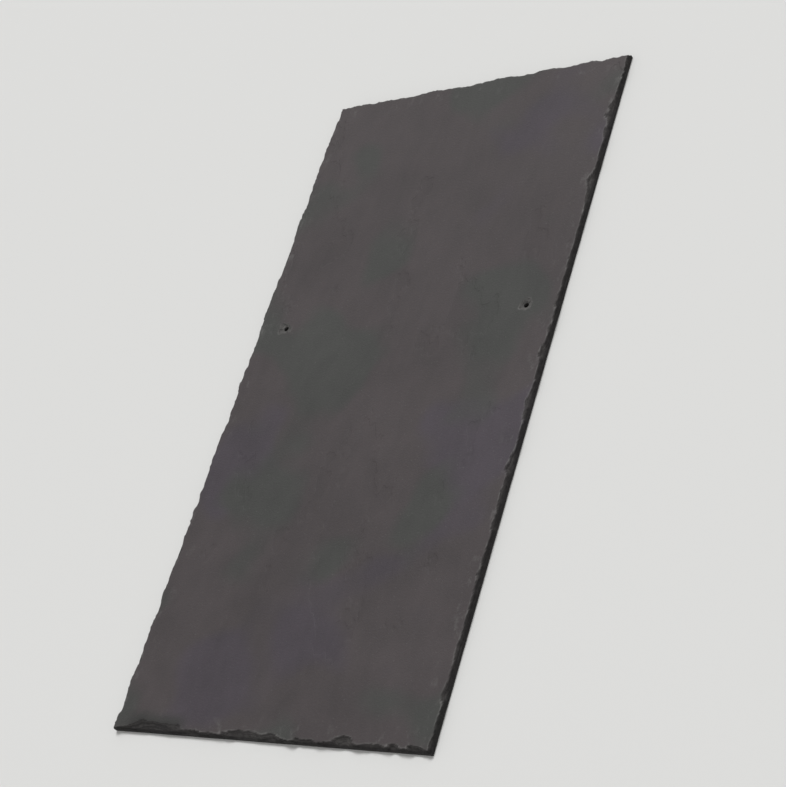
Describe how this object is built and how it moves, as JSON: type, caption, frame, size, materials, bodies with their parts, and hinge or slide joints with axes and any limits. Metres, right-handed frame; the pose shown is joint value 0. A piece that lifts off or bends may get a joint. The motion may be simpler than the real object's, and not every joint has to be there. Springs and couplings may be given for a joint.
{
  "type": "slate roof tile",
  "caption": "Rectangular natural roofing slate with a dressed, flaked bevel round its face and two nail holes above mid-length.",
  "frame": {"origin": "middle of the bed, the flat underside that the slate lies on", "axes": "+X across the width, +Y up the length from the tail to the head, +Z out of the exposed face"},
  "size_m": [0.3, 0.6, 0.006],
  "materials": {
    "slate": "natural split slate, matt to faintly satin, dark warm grey, riven face with dusty flaked edges"
  },
  "bodies": {
    "root": {"roof_slate": "slate"}
  },
  "joints": []
}
